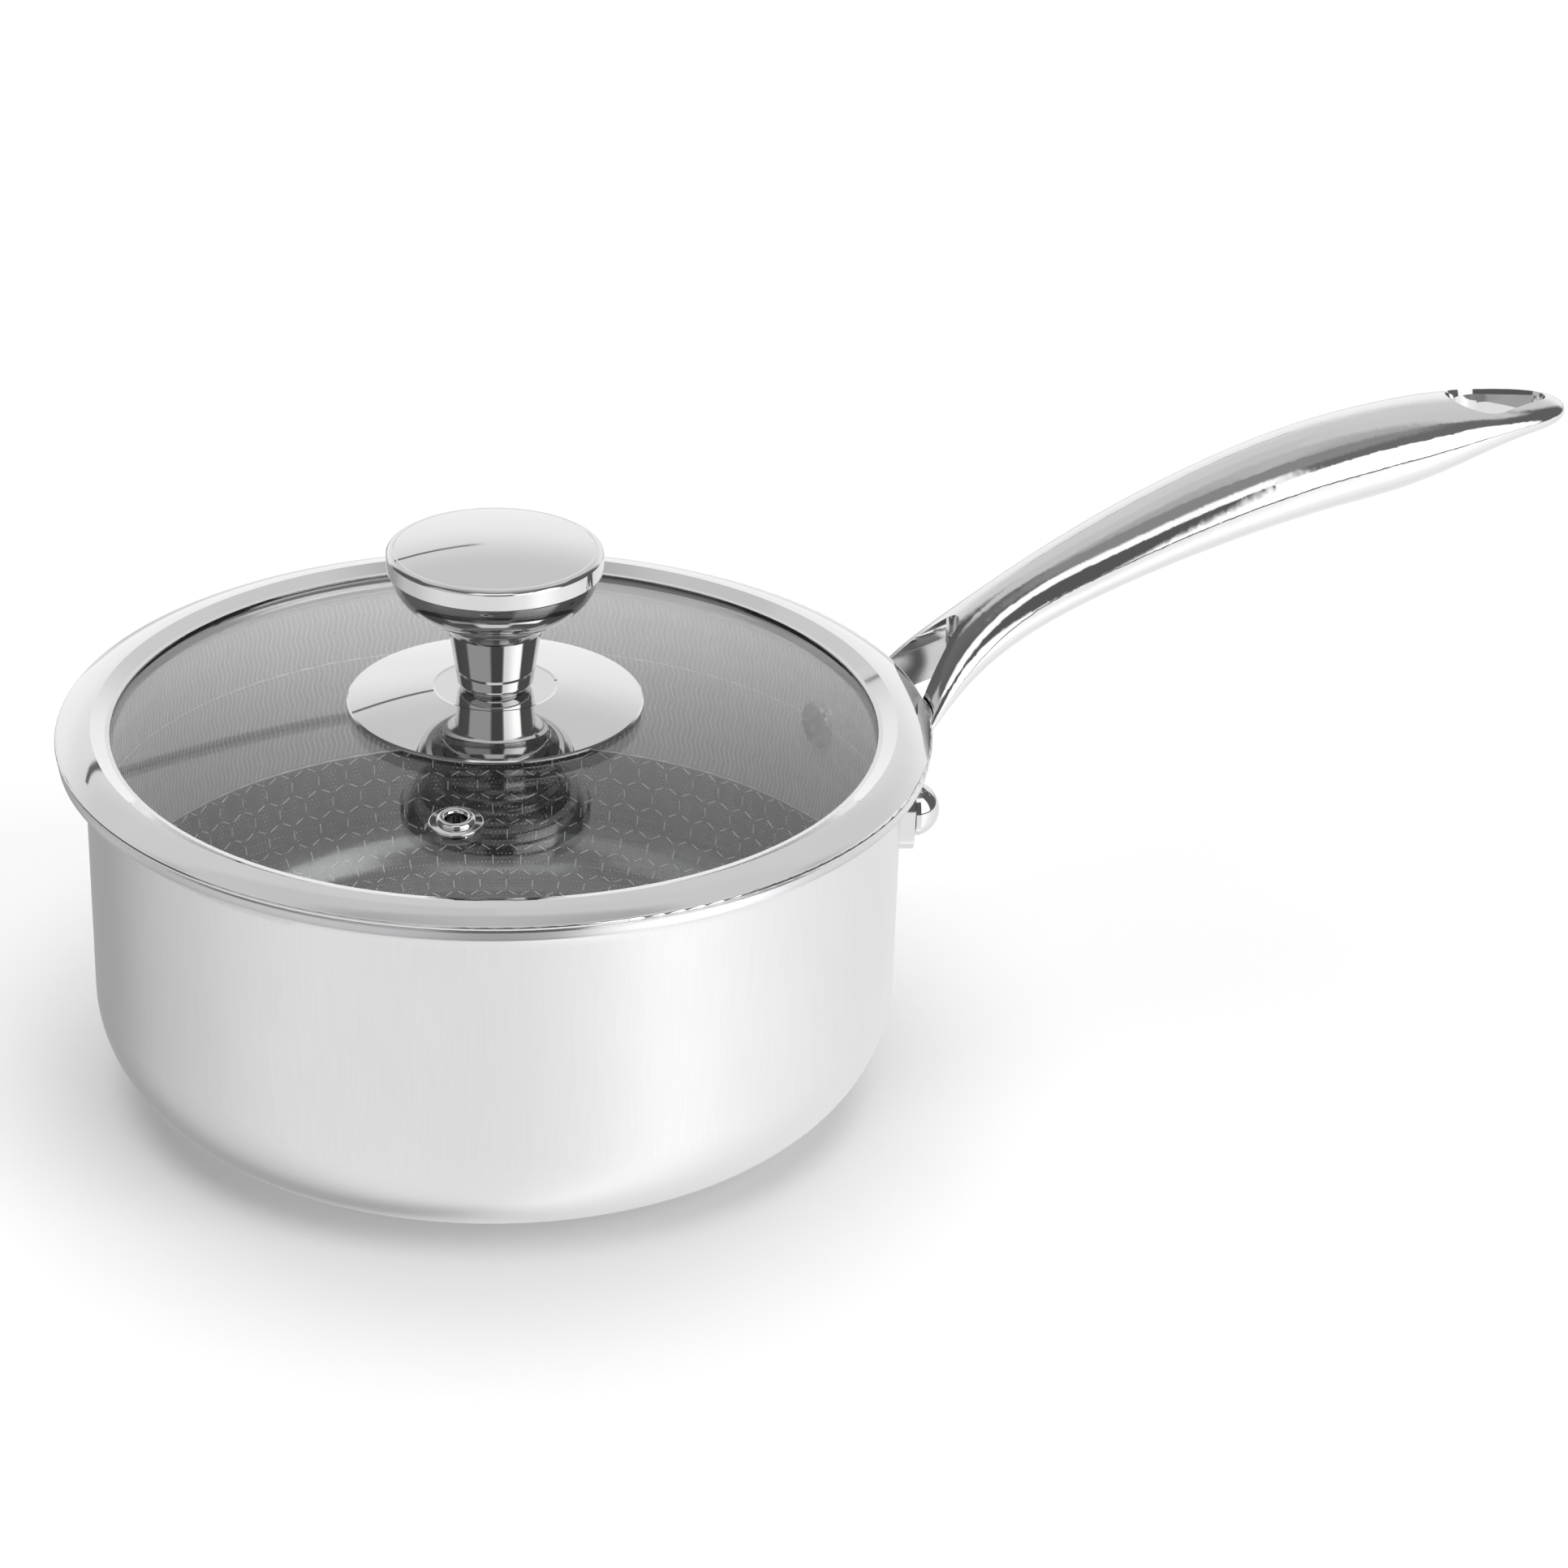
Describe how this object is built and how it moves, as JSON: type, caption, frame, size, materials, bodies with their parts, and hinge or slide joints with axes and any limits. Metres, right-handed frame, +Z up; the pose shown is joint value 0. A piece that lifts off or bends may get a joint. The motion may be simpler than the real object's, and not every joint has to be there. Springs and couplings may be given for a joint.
{
  "type": "saucepan with glass lid",
  "caption": "Straight-walled clad saucepan with a flared pouring lip, a long forked polished handle and a domed vented glass lid with a metal rim and knob.",
  "frame": {"origin": "centre of the pan's flat base, on the surface that it stands on", "axes": "+Z up along the pan's axis, +X out along the handle, +Y completes a right-handed set"},
  "size_m": [0.3961, 0.2142, 0.1497],
  "materials": {
    "satin_steel": "satin, fine vertical grain",
    "core_aluminium": "plain, seen only at the lip",
    "cooking_surface": "dark non-stick with a raised bright steel pattern",
    "handle_steel": "mirror polished casting",
    "rivet_steel": "polished",
    "lid_glass": "clear tempered glass",
    "rim_steel": "mirror polished sheet",
    "vent_steel": "polished",
    "washer_steel": "plain",
    "disc_steel": "mirror polished sheet",
    "silicone": "matt silicone",
    "knob_steel": "mirror polished",
    "insert_brass": "turned"
  },
  "bodies": {
    "pan": {"pan_outer_steel": "satin_steel", "pan_aluminium_core": "core_aluminium", "pan_cooking_surface": "cooking_surface", "handle_casting": "handle_steel", "handle_rivets": "rivet_steel"},
    "lid": {"lid_glass": "lid_glass", "lid_rim_band": "rim_steel", "vent_eyelet": "vent_steel", "vent_washer": "washer_steel", "cover_disc": "disc_steel", "disc_pad": "silicone", "knob_neck": "knob_steel", "knob_bowl": "knob_steel", "knob_cap": "knob_steel", "knob_insert": "insert_brass", "underside_gasket": "silicone", "underside_washer": "washer_steel", "lock_washer": "washer_steel", "knob_screw": "washer_steel"}
  },
  "joints": [
    {"name": "lid_lift", "type": "slide", "parent": "pan", "child": "lid", "axis": [0, 0, 1], "range_m": [0, 0.12]}
  ]
}
